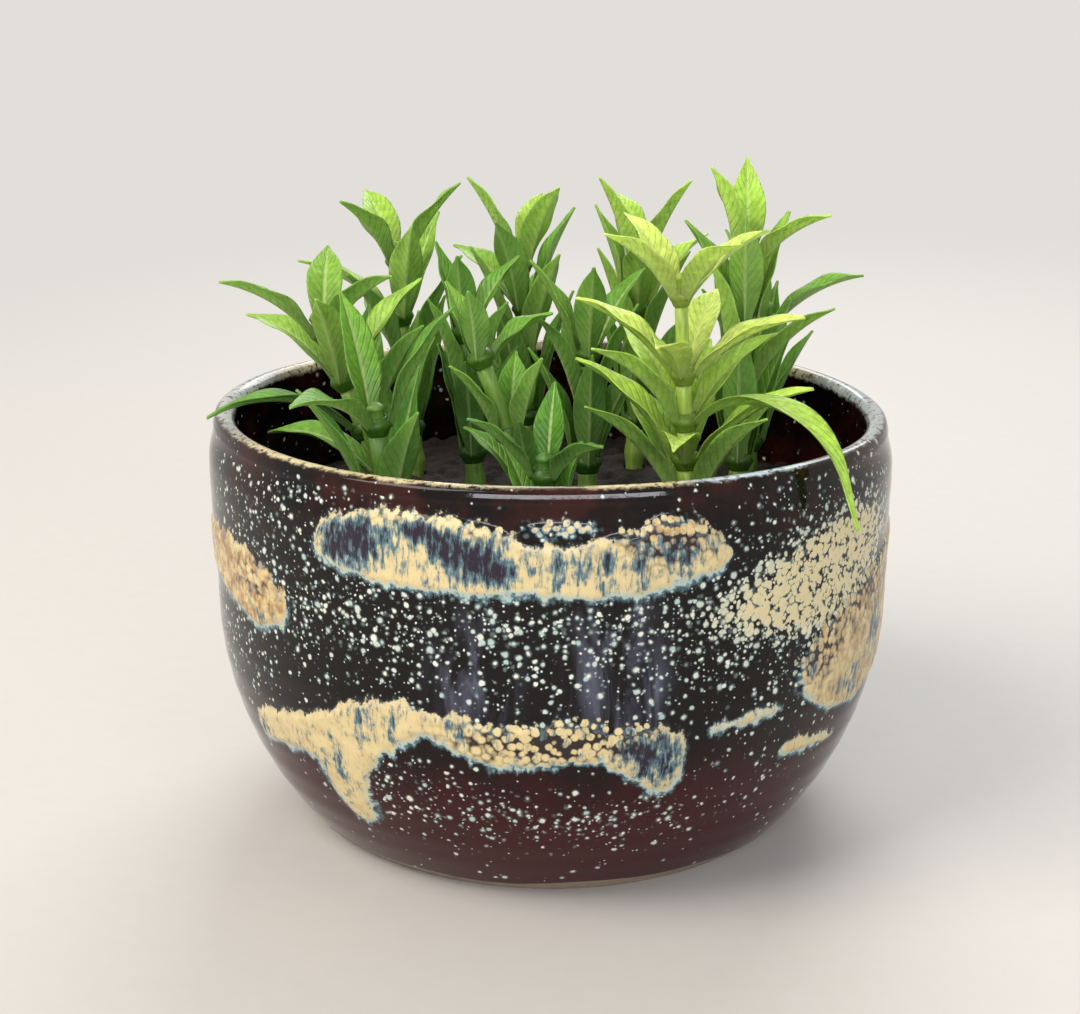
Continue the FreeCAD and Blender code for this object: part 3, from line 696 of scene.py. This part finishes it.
def roomReach(name, start, heading, halfWidth):
    # how far a leaf may run before it leaves its own sprig's room
    reaches = []
    aim, own = toward(heading), sprigPlan[name]["room"] * leafShape["length"]
    for other in sprigPlan:
        gap = crownOf(other) - crownOf(name)
        if other == name or aim @ gap <= 0:
            continue
        size = np.linalg.norm(gap)
        away = gap / size
        facing, theirs = aim @ away, sprigPlan[other]["room"] * leafShape["length"]
        border = (size ** 2 + own ** 2 - theirs ** 2) / (2 * size) - (start - crownOf(name))[:2] @ away[:2]
        side = halfWidth * math.sqrt(max(0, 1 - facing ** 2))
        reaches.append((border - leafShape["roomGap"] - leafShape["rib"] - side) / facing)
    return min(reaches, default=math.inf)


def circleReach(start, heading, radius):
    # how far it is along a heading to a circle about the bowl's axis
    along = start[:2] @ toward(heading)[:2]
    return -along + math.sqrt(along ** 2 - start[:2] @ start[:2] + radius ** 2)


def settle(length, rise, curl, reach):
    # a leaf stands up just enough to keep within reach
    half = math.radians(curl) / 2
    natural = length * math.sin(half) / half * math.cos(math.radians(rise) - half)
    if natural <= reach:
        return rise, curl
    curl = curl * reach / natural
    half = math.radians(curl) / 2
    return math.degrees(math.acos(reach / (length * math.sin(half) / half)) + half), curl


def stemRadius(number):
    return bedShape["pegRadius"] - bedShape["seatStep"] * number


def leafStart(number):
    return stemRadius(number + 1) + leafShape["collarGap"] + leafShape["collarWall"] / 2


def whorlCentre(name, number):
    return basePoint(name) + stemAxis(name) * (seatsOf(name)[number] + leafShape["collarHeight"] / 2)


def leafPlaces(name, number):
    # heading, rise, curl, arc length, free end and width of each leaf in a whorl
    f, plan = leafShape, sprigPlan[name]
    share, leaves, centre = plan["seats"][number], plan["leaves"], whorlCentre(name, number)
    width = f["width"] * math.sqrt(plan["size"])
    length = f["length"] * plan["size"] * (1 + (f["highLeaf"] - 1) * share)
    rim = bowlShape["height"] + f["rimGap"] + f["rib"]
    hang = trailing.get(name)
    places = []
    for leaf in range(leaves):
        sway = math.sin(math.radians(f["swayTurn"] * (number * leaves + leaf)))
        heading = plan["first"] + 360 * (leaf + number / 2) / leaves + f["headingSway"] * sway
        if hang and hang[0] == number and abs(degreesFrom(heading, hang[1])) <= 180 / leaves:
            run = circleReach(centre, hang[1], bowlShape["rimRadius"] + f["hangGap"]) - leafStart(number)
            climb = bowlShape["height"] + f["hangGap"] + f["rib"] - centre[2]
            turn = math.radians(f["trailingRise"]) - math.atan2(climb, run)
            radius = math.hypot(run, climb) / (2 * math.sin(turn))
            curl = max(2 * math.degrees(turn), f["trailingRise"] + hang[2])
            places.append((hang[1], f["trailingRise"], curl, radius * math.radians(curl),
                           hang[3] * f["length"], f["width"] * f["trailingWidth"]))
            continue
        reach = roomReach(name, centre, heading, width / 2)
        if centre[2] < rim:
            inside = bedShape["insideRadius"] - f["rimGap"] - f["rib"]
            reach = min(reach, circleReach(centre, heading, inside))
        rise = f["lowRise"] + (f["highRise"] - f["lowRise"]) * share + f["riseSway"] * sway
        curl = f["lowCurl"] + (f["highCurl"] - f["lowCurl"]) * share
        rise, curl = settle(length, rise, curl, reach - leafStart(number))
        places.append((heading, rise, curl, length, 0, width))
    return places


def makeLeaf(start, heading, rise, curl, arc, freeEnd, width, seed):
    # a thin folded blade with a grooved rib, pressed veins, a wavy edge and a slight twist
    f = leafShape
    aim = toward(heading)
    side = np.cross(upward, aim)
    n, m = f["along"], f["across"]
    share = 1 - (1 - np.linspace(0, 1, n)) ** 1.15  # closer rows toward the tip
    first, radius = math.radians(rise), arc / math.radians(curl)
    along = share * (arc + freeEnd)
    straight = np.maximum(0, along - arc)
    angle = first - (along - straight) / radius
    run = radius * (math.sin(first) - np.sin(angle)) + straight * np.cos(angle)
    climb = radius * (np.cos(angle) - math.cos(first)) + straight * np.sin(angle)
    rib = start + np.outer(run, aim) + np.outer(climb, upward)
    normal = np.outer(np.cos(angle), upward) - np.outer(np.sin(angle), aim)
    middle = share ** (math.log(0.5) / math.log(f["widest"]))
    halfWidth = f["stalk"] * (1 - share) ** f["stalkTaper"] + np.sin(math.pi * middle) ** f["taper"]
    bluntTip = f["tip"] * np.sqrt(np.maximum(1.02 - share ** 40, 0))
    halfWidth = np.maximum(width / 2 * halfWidth, bluntTip)
    roll = math.radians(f["twist"]) * math.sin(seed * 1.7) * share ** 1.5
    across = np.linspace(-1, 1, m)
    grid = halfWidth[:, None] * across[None, :]
    fold = math.radians(f["fold"])
    body = np.sin(math.pi * np.clip(share, 0, 0.98))[:, None] ** 0.6  # fades out at both ends
    lift = halfWidth[:, None] * math.sin(fold) * np.abs(across) ** 0.95
    ripple = np.sin(fullTurn * (f["waves"] * share[:, None] + 0.16 * np.sign(across)) + seed)
    lift = lift + f["wave"] * ripple * across ** 2 * body
    lift = lift - f["groove"] * np.exp(-(grid / f["grooveWidth"]) ** 2) * body
    veins = np.cos(fullTurn * (f["veins"] * share[:, None] - f["veinSlant"] * np.abs(across)))
    lift = lift + f["veinDepth"] * veins * np.sin(math.pi * np.abs(across)) * body
    flat = grid * math.cos(fold)
    wide = flat * np.cos(roll)[:, None] - lift * np.sin(roll)[:, None]
    tall = flat * np.sin(roll)[:, None] + lift * np.cos(roll)[:, None]
    top = rib[:, None] + wide[..., None] * side + tall[..., None] * normal[:, None]
    thick = f["thickEdge"] + (f["rib"] - f["thickEdge"]) * np.exp(-(grid / f["ribWidth"]) ** 2)
    thick = thick * (1 - f["thinning"] * share[:, None])
    below = top - thick[..., None] * normal[:, None]
    points = np.concatenate([top.reshape(-1, 3), below.reshape(-1, 3)])
    k = n * m
    cell = np.arange(k).reshape(n, m)
    a, b, c, d = cell[:-1, :-1], cell[1:, :-1], cell[1:, 1:], cell[:-1, 1:]
    right, left, base, tip = cell[:, 0], cell[:, -1], cell[0], cell[-1]
    faces = [np.stack([a, b, c, d], -1).reshape(-1, 4), np.stack([a, d, c, b], -1).reshape(-1, 4) + k]
    forward, back = [0, 1, 2, 3], [0, 3, 2, 1]
    for edge, order in ((right, back), (left, forward), (base, forward), (tip, back)):  # the thin sides
        faces.append(np.stack([edge[:-1], edge[1:], edge[1:] + k, edge[:-1] + k], -1)[:, order])
    fields = [np.tile(np.repeat(share, m), 2), np.tile(np.tile(across, n), 2), np.repeat([0.0, 1.0], k)]
    return points, np.concatenate(faces), fields


def turnAbout(name, base, axis, rows):
    # rings of points about an axis, from rows of radius and distance along; all of a sprig's rings
    # start on one side
    level = np.cross(upward, stemAxis(name))
    level = level / np.linalg.norm(level)
    other = np.cross(axis, level)
    turn = np.arange(bedShape["stemSides"]) * fullTurn / bedShape["stemSides"]
    ring = np.outer(np.cos(turn), level) + np.outer(np.sin(turn), other)
    return np.concatenate([base + axis * up + ring * r for r, up in rows])


def makeWhorl(name, number, material):
    # one moulding: a sleeve round the stem and the blades that grow out of it
    f, plan, axis = leafShape, sprigPlan[name], stemAxis(name)
    seat = basePoint(name) + axis * seatsOf(name)[number]
    bore = stemRadius(number + 1) + f["collarGap"]
    outer, tall = bore + f["collarWall"], f["collarHeight"]
    rows = [(bore, 0.0), (bore + 0.3, 0.02), (bore + 0.42, 0.3), (bore + 0.6, tall * 0.25),
            (outer - 0.35, tall * 0.42), (outer - 0.2, tall * 0.56), (outer - 0.4, tall * 0.74),
            (bore + 0.5, tall * 0.9), (bore + 0.25, tall), (bore, tall * 0.97), (bore, tall * 0.5),
            (bore, 0.0)]
    parts = [turnAbout(name, seat, axis, rows)]
    faces = [ringFaces(len(rows), bedShape["stemSides"])]
    count = len(parts[0])
    level = (number + 1) / len(plan["seats"])  # low leaves are deeper green
    collarTone = plan["tone"] * (0.5 + 0.4 * level)
    columns = [[np.full(count, value) for value in (0.0, 0.5, 0.0, collarTone)]]
    for leaf, place in enumerate(leafPlaces(name, number)):
        start = whorlCentre(name, number) + toward(place[0]) * (leafStart(number) - f["inCollar"])
        seed = leaf * 2.4 + number * 1.3 + len(name)
        points, quads, fields = makeLeaf(start, *place, seed)
        parts.append(points)
        faces.append(quads + count)
        count += len(points)
        tone = plan["tone"] * (0.68 + 0.32 * level) + 0.07 * math.sin(seed * 2.3)
        columns.append(fields + [np.full(len(points), np.clip(tone, 0, 1))])
    keys = ("leafAlong", "leafAcross", "leafUnder", "leafTone")
    fields = {key: np.concatenate(column) for key, column in zip(keys, zip(*columns))}
    node = f"{name}_leaf_whorl_{number + 1}"
    return addPiece(node + "_moulded", np.concatenate(parts), np.concatenate(faces), material,
                    name + "_sprig", [node], fields)


def makeStem(name, material):
    # an upright peg, a swollen knee and a leaning stem that steps in at each seat and ends in a bud
    b, axis, base = bedShape, stemAxis(name), basePoint(name)
    peg, foot = b["pegRadius"], b["pegFoot"] - b["kneeHeight"]
    rows = [(0.0, foot), (peg * 0.7, foot), (peg, foot + 0.8)]
    rows += [(peg, up) for up in np.linspace(foot + 2, -2.2, 10)]
    rows += [(peg + b["kneeSwell"] * 0.6, -1.2), (peg + b["kneeSwell"], -0.3)]
    lean = [(peg + b["kneeSwell"], 0.4), (peg + b["kneeSwell"] * 0.5, 1.3)]
    ends = seatsOf(name) + [seatsOf(name)[-1] + leafShape["collarHeight"] + b["stemTip"]]
    start = 2.0
    for number, end in enumerate(ends):
        lean += [(stemRadius(number), up) for up in np.linspace(start, end - 0.05, 5)]
        start = end
    last = stemRadius(len(ends) - 1)
    lean += [(last * 1.15, start + 0.2), (last * 0.8, start + 0.7), (last * 0.35, start + 1.1),
             (0.0, start + 1.25)]
    points = np.concatenate([turnAbout(name, base, upward, rows), turnAbout(name, base, axis, lean)])
    rings, around = len(rows) + len(lean), b["stemSides"]
    turn = np.tile(np.arange(around) * fullTurn / around, rings)
    fields = {"stemTone": np.full(len(points), sprigPlan[name]["tone"]), "stemRidge": np.cos(4 * turn)}
    node = name + "_stem"
    return addPiece(node + "_moulded", points, ringFaces(rings, around), material,
                    name + "_sprig", [node], fields)


# Moulded polyethylene leaf: a soft satin skin with a pale rib and darker pressed veins, lit through
# where thin
leafLook = {
    "tones": [(0.0, "#173f0a"), (0.35, "#437f21"), (0.6, "#78b039"), (0.85, "#c6e95e"), (1.0, "#e9f97f")],
    "rib": "#e2f0a2", "vein": "#3d8420", "under": "#a6cc7c", "mottle": 1.3, "glow": 0.22,
    "veinShare": 0.16, "underShare": 0.28, "veinBend": 0.35, "veinRelief": -0.6, "bump": (0.6, 0.25),
    # ranges of patterns: where they start and end, and what they give
    "veinLine": {**smooth, "From Min": 0.28, "From Max": 0.5},
    "ends": {**smooth, "From Min": 0.06, "From Max": 0.26},
    "patchy": {"From Min": 0.35, "From Max": 0.65, "To Min": 0.8, "To Max": 1.16},
    "deep": {"From Max": 0.6, "To Min": 0.42, "To Max": 1.12},
    "ribLine": {**smooth, "From Min": 0.15, "From Max": 0.03, "To Max": 0.5},
    "satin": {"To Min": 0.22, "To Max": 0.46},
}


def makeLeafPlastic():
    g = leafLook
    material, add, shader, coord, read = startMaterial(
        "moulded polyethylene leaf", {"IOR": 1.5, "Specular IOR Level": 0.4},
        ("leafAlong", "leafAcross", "leafUnder", "leafTone"))
    ramp = add("ShaderNodeValToRGB", {0: read["leafTone"]})
    stops = ramp.color_ramp.elements
    stops[0].color, stops[1].color = linear(g["tones"][0][1]), linear(g["tones"][-1][1])
    for place, code in g["tones"][1:-1]:
        stops.new(place).color = linear(code)
    mottle = add(noiseNode, {"Scale": perMm(g["mottle"]), "Detail": 4, "Roughness": 0.6,
                             "Vector": coord}, "Fac")
    across = add(mathNode, {"operation": "ABSOLUTE", 0: read["leafAcross"]}, 0)

    # veins run out and forward from the rib, as the pressed ones in the mesh do; none at the narrow ends
    phase = add(mathNode, {**times, 0: across, 1: -leafShape["veinSlant"]}, 0)
    for pattern, amount in ((read["leafAlong"], leafShape["veins"]), (mottle, g["veinBend"])):
        phase = add(mathNode, {**timesPlus, 0: pattern, 1: amount, 2: phase}, 0)
    wave = add(mathNode, {**pingPong, 0: phase, 1: 0.5}, 0)
    vein = add(rangeNode, {**g["veinLine"], "Value": wave}, 0)
    ends = add(mathNode, {**pingPong, 0: read["leafAlong"], 1: 0.5}, 0)
    ends = add(rangeNode, {**g["ends"], "Value": ends}, 0)
    vein = add(mathNode, {**times, 0: vein, 1: ends}, 0)
    veined = add(mathNode, {**times, 0: vein, 1: g["veinShare"]}, 0)
    colour = add(mixNode, {**colours, 0: veined, 6: ramp.outputs[0], 7: linear(g["vein"])}, 2)

    # mottled, and deeper toward the stalk
    patchy = add(rangeNode, {**g["patchy"], "Value": mottle}, 0)
    deep = add(rangeNode, {**g["deep"], "Value": read["leafAlong"]}, 0)
    shade = add(mathNode, {**times, 0: patchy, 1: deep}, 0)
    colour = add("ShaderNodeHueSaturation", {"Color": colour, "Value": shade}, 0)
    rib = add(rangeNode, {**g["ribLine"], "Value": across}, 0)
    under = add(mathNode, {**times, 0: read["leafUnder"], 1: g["underShare"]}, 0)
    for share, name in ((rib, "rib"), (under, "under")):
        colour = add(mixNode, {**colours, 0: share, 6: colour, 7: linear(g[name])}, 2)
    rough = add(rangeNode, {**g["satin"], "Value": mottle}, 0)
    relief = add(mathNode, {**timesPlus, 0: vein, 1: g["veinRelief"], 2: mottle}, 0)
    finishMaterial(add, shader, colour, rough, relief, g["bump"], g["glow"])
    return material


# Moulded polyethylene stem: yellower than the leaves, with lengthwise ridges
stemLook = {"tones": [(0.0, "#2a4f1e"), (0.5, "#527f30"), (1.0, "#a3be52")], "fibre": 0.6, "stretch": 0.2,
            "ridges": 0.5, "bump": (0.5, 0.2), "satin": {"To Min": 0.35, "To Max": 0.55},
            "patchy": {"From Min": 0.3, "From Max": 0.7, "To Min": 0.75, "To Max": 1.15}}


def makeStemPlastic():
    g = stemLook
    material, add, shader, coord, read = startMaterial(
        "moulded polyethylene stem", {"IOR": 1.5}, ("stemTone", "stemRidge"))
    drawn = add("ShaderNodeMapping", {"Scale": (1, 1, g["stretch"]), "Vector": coord}, 0)
    fibre = add(noiseNode, {"Scale": perMm(g["fibre"]), "Detail": 3, "Vector": drawn}, "Fac")
    ramp = add("ShaderNodeValToRGB", {0: read["stemTone"]})
    stops = ramp.color_ramp.elements
    stops[0].color, stops[1].color = linear(g["tones"][0][1]), linear(g["tones"][-1][1])
    for place, code in g["tones"][1:-1]:
        stops.new(place).color = linear(code)
    shade = add(rangeNode, {**g["patchy"], "Value": fibre}, 0)
    colour = add("ShaderNodeHueSaturation", {"Color": ramp.outputs[0], "Value": shade}, 0)
    rough = add(rangeNode, {**g["satin"], "Value": fibre}, 0)
    relief = add(mathNode, {**timesPlus, 0: read["stemRidge"], 1: g["ridges"], 2: fibre}, 0)
    finishMaterial(add, shader, colour, rough, relief, g["bump"])
    return material


leafPlastic, stemPlastic = makeLeafPlastic(), makeStemPlastic()
for sprig in sprigPlan:
    makeStem(sprig, stemPlastic)
    for whorl in range(len(sprigPlan[sprig]["seats"])):
        makeWhorl(sprig, whorl, leafPlastic)
print("sprigs made:", len(sprigPlan))

# Foam plug and the dark crumb on it

bedLook = {
    "lumps": 1500, "rings": 90, "around": 300, "bed": 54.6, "seed": 7, "leastLump": 0.7, "lumpSpread": 1.6,
    "sunk": 0.4, "lumpHeight": 0.9, "flats": 17, "flatDepth": 0.012, "foamSides": 136, "holeSides": 26,
    "cutPast": 5.0,
}


def cutPegHoles(piece, radius, low, high):
    # holes for the pegs, at every sprig's place
    points, faces, around = [], [], bedLook["holeSides"]
    for name in sprigPlan:
        x, y = basePoint(name)[:2]
        first = len(points)
        for up in (low, high):
            for i in range(around):
                turn = fullTurn * i / around
                spot = (x + radius * math.cos(turn), y + radius * math.sin(turn), up)
                points.append([part * mm for part in spot])
        lower = list(range(first, first + around))
        upper = list(range(first + around, first + 2 * around))
        faces += [lower[::-1], upper]
        for i in range(around):
            after = (i + 1) % around
            faces.append((lower[i], lower[after], upper[after], upper[i]))
    mesh = bpy.data.meshes.new("pegs")
    mesh.from_pydata(points, [], faces)
    cutter = addObject("pegs", mesh)
    cut = piece.modifiers.new("pegs", "BOOLEAN")
    cut.operation, cut.solver, cut.object = "DIFFERENCE", "EXACT", cutter
    bpy.context.view_layer.update()
    done = bpy.data.meshes.new_from_object(piece.evaluated_get(bpy.context.evaluated_depsgraph_get()))
    piece.modifiers.clear()
    piece.data = done
    bpy.data.objects.remove(cutter)


def makeTopping(material):
    # a layer of crumbs: many small lumps over a flat bed
    b, look = bedShape, bedLook
    random = np.random.default_rng(look["seed"])
    around, rings = look["around"], look["rings"]
    size, under = b["foamRadius"] - 0.3, b["foamTop"] + 0.05
    radius = np.concatenate([size * np.sqrt(np.linspace(0, 1, rings)), [size, size, size * 0.5, 0]])
    height = np.concatenate([np.full(rings, look["bed"]), [look["bed"] - 1.6, under, under, under]])
    turn = np.arange(around) * fullTurn / around
    x = np.outer(radius, np.cos(turn)).ravel()
    y = np.outer(radius, np.sin(turn)).ravel()
    z = np.repeat(height, around)
    onTop = np.repeat(np.arange(len(radius)) < rings, around)
    gap = size * np.sqrt(random.random(look["lumps"]))
    heading = random.random(look["lumps"]) * fullTurn
    grain = look["leastLump"] + look["lumpSpread"] * random.random(look["lumps"]) ** 2
    for cx, cy, r in zip(gap * np.cos(heading), gap * np.sin(heading), grain):
        d = (x - cx) ** 2 + (y - cy) ** 2
        near = onTop & (d < r * r)
        raised = look["bed"] - look["sunk"] + look["lumpHeight"] * np.sqrt(r * r - d[near])
        z[near] = np.maximum(z[near], raised)
    z[onTop] = np.minimum(z[onTop], b["toppingTop"])
    piece = addPiece("crumb_topping_layer", np.stack([x, y, z], 1), ringFaces(len(radius), around)[:, ::-1],
                     material, "insert", ["crumb_topping"])
    cutPegHoles(piece, b["pegRadius"] + b["toppingGap"], b["foamTop"] - look["cutPast"],
                b["toppingTop"] + look["cutPast"])
    return piece


def makeFoam(material):
    # a plug trimmed with a knife to the bowl's inside: faint flats round its side
    b, look = bedShape, bedLook
    around, foot = look["foamSides"], b["floorHeight"] + 0.02
    heights = np.linspace(foot, bowlShape["bellyHeight"], 30)
    rows = [(0.0, foot), (20.0, foot)]
    rows += list(zip(arcRadius(heights, bowlShape["wall"] + b["foamGap"]), heights))
    rows += [(b["foamRadius"], up) for up in (44, 46, 48, 49.6)]
    rows += [(b["foamRadius"] - 0.4, b["foamTop"]), (30.0, b["foamTop"]), (0.0, b["foamTop"])]
    rows = np.array(rows)
    turn = np.tile(np.arange(around) * fullTurn / around, len(rows))
    radius, height = np.repeat(rows[:, 0], around), np.repeat(rows[:, 1], around)
    flats = np.abs(np.sin(turn * look["flats"] / 2)) ** 0.7
    radius = radius * (1 - look["flatDepth"] * (1 - flats) - 0.003 * (1 + np.sin(5 * turn + height / 7)))
    points = np.stack([radius * np.cos(turn), radius * np.sin(turn), height], 1)
    piece = addPiece("foam_plug_trimmed", points, ringFaces(len(rows), around), material,
                     "insert", ["foam_plug"])
    cutPegHoles(piece, b["pegRadius"] + b["pegGap"], b["pegFoot"], b["foamTop"] + look["cutPast"])
    return piece


# Dry phenolic foam, knife cut: dull and full of small open cells, drawn coarser than real so that they show
foamLook = {"cell": 0.7, "patch": 9.0, "dark": "#4a463a", "pale": "#625c4c", "pore": "#37332a",
            "dull": {"To Min": 0.85, "To Max": 1.0}, "bump": (0.7, 0.3)}
foam, add, shader, coord, _ = startMaterial("dry phenolic foam, knife cut", {"IOR": 1.4})
cells = add(cellNode, {"Scale": perMm(foamLook["cell"]), "Vector": coord}, "Distance")
patches = add(noiseNode, {"Scale": perMm(foamLook["patch"]), "Detail": 4, "Vector": coord}, "Fac")
tint = add(mixNode, {**colours, 0: patches, 6: linear(foamLook["dark"]), 7: linear(foamLook["pale"])}, 2)
pores = add(mixNode, {**colours, 0: cells, 6: linear(foamLook["pore"]), 7: tint}, 2)
rough = add(rangeNode, {**foamLook["dull"], "Value": patches}, 0)
finishMaterial(add, shader, pores, rough, cells, foamLook["bump"])
makeFoam(foam)

# Crumb, near black as painted shade for the leaves' gaps: brown bits catch the light, dust drawn coarse
# enough to show
crumbLook = {"bit": 1.8, "dust": 0.5, "black": "#100c0a", "brown": "#2e2018", "dusty": "#191310",
             "dull": {"To Min": 0.7, "To Max": 1.0}, "bump": (0.8, 0.4)}
crumb, add, shader, coord, _ = startMaterial("crumb with painted shade", {"IOR": 1.45})
bits = add(cellNode, {"Scale": perMm(crumbLook["bit"]), "Vector": coord}, "Color")
dust = add(noiseNode, {"Scale": perMm(crumbLook["dust"]), "Detail": 4, "Vector": coord}, "Fac")
pick = add("ShaderNodeSeparateColor", {0: bits}, 0)
# the near black that most bits take is painted shade for the gaps between the leaves
brown = add(mixNode, {**colours, 0: pick, 6: linear(crumbLook["black"]), 7: linear(crumbLook["brown"])}, 2)
dusty = add(mixNode, {**colours, 0: dust, 6: brown, 7: linear(crumbLook["dusty"])}, 2)
rough = add(rangeNode, {**crumbLook["dull"], "Value": dust}, 0)
finishMaterial(add, shader, dusty, rough, dust, crumbLook["bump"])
makeTopping(crumb)
print("insert made")
